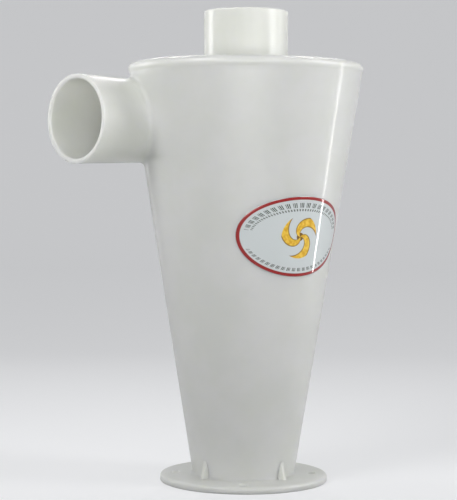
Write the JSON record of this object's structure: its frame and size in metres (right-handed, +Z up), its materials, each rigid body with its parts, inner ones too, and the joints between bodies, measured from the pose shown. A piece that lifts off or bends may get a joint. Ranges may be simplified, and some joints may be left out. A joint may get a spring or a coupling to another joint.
{
  "type": "cyclone separator",
  "caption": "Small moulded plastic dust cyclone: a tapering cone with a tangential inlet pipe, a lid with an outlet tube and vortex finder, and a flanged foot.",
  "frame": {"origin": "centre of the foot flange's underside, on the cone's axis", "axes": "+Z up the cone's axis and out of the outlet pipe; -X out of the inlet's mouth, whose centre line lies on the +Y side of the axis"},
  "size_m": [0.1688, 0.14, 0.2797],
  "materials": {
    "body_plastic": "satin milky white polypropylene, slightly translucent",
    "lid_plastic": "satin milky white polypropylene, slightly translucent",
    "label_film": "glossy white printed film"
  },
  "bodies": {
    "root": {"base_flange": "body_plastic", "gusset_rib_1": "body_plastic", "gusset_rib_2": "body_plastic", "gusset_rib_3": "body_plastic", "gusset_rib_4": "body_plastic", "cone_wall": "body_plastic", "inlet_barrel": "body_plastic", "inlet_saddle": "body_plastic", "inlet_pipe": "body_plastic", "rim_band": "body_plastic", "lid_disc": "lid_plastic", "lid_weld_bead": "lid_plastic", "outlet_pipe": "lid_plastic", "vortex_finder": "lid_plastic", "oval_label": "label_film"}
  },
  "joints": []
}
